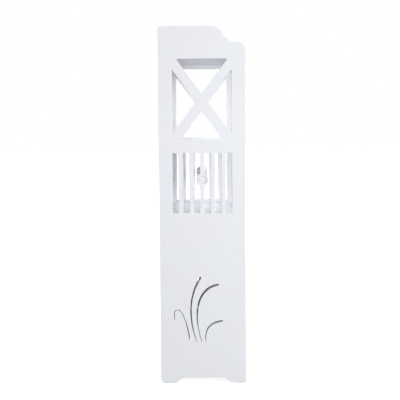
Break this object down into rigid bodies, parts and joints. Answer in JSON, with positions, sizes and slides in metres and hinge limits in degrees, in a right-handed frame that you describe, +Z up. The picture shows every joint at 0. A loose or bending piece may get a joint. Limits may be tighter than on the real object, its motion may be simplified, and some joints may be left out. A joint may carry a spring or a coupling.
{
  "type": "toilet roll storage cabinet",
  "caption": "Narrow free-standing bathroom cabinet for toilet rolls, with a top tray, crossed and slatted side windows, a sprung roll spindle and a cupboard with a pivoting door.",
  "frame": {"origin": "middle of the footprint, on the floor, under the overall box", "axes": "+Z up; the door and the open bays face -Y; the width runs along X, with the door's pivots on the +X side"},
  "size_m": [0.15, 0.192, 0.8],
  "materials": {
    "white_board": "smooth satin white",
    "white_nylon": "moulded off-white",
    "white_gloss": "moulded glossy white",
    "zinc_steel": "bright zinc plated",
    "dark_ferrite": "dark ceramic"
  },
  "bodies": {
    "cabinet": {"left_side_panel": "white_board", "right_side_panel": "white_board", "top_board": "white_board", "top_back_rail": "white_board", "top_front_rail": "white_board", "middle_shelf": "white_board", "roll_floor": "white_board", "bottom_board": "white_board", "kick_rail": "white_board", "back_panel": "white_board", "inner_shelf": "white_board", "shelf_pins": "white_nylon", "corner_blocks": "white_nylon", "corner_block_screws": "zinc_steel", "rail_screws": "zinc_steel", "back_panel_screws": "zinc_steel", "foot_pads": "white_nylon", "lower_pivot_bush": "white_nylon", "upper_pivot_bush": "white_nylon", "catch_housing": "white_nylon", "catch_magnet": "dark_ferrite", "catch_pole_plates": "zinc_steel", "catch_screws": "zinc_steel"},
    "door": {"door_panel": "white_board", "lower_pivot_pin": "zinc_steel", "upper_pivot_pin": "zinc_steel", "strike_plate": "zinc_steel", "strike_screw": "zinc_steel"},
    "roll_spindle": {"spindle_sleeve": "white_gloss", "spindle_spring": "zinc_steel"},
    "spindle_plunger": {"spindle_plunger": "white_gloss"}
  },
  "joints": [
    {"name": "door_swing", "type": "hinge", "parent": "cabinet", "child": "door", "pos_m": [0.0605, -0.0905, 0.2], "axis": [0, 0, 1], "range_deg": [0, 95]},
    {"name": "spindle_spin", "type": "hinge", "parent": "cabinet", "child": "roll_spindle", "pos_m": [0, 0, 0.46], "axis": [1, 0, 0], "continuous": true},
    {"name": "plunger_push", "type": "slide", "parent": "roll_spindle", "child": "spindle_plunger", "axis": [-1, 0, 0], "range_m": [0, 0.01], "stiffness_N_per_m": 150, "springref_m": -0.006, "deforming": ["spindle_spring"]}
  ]
}
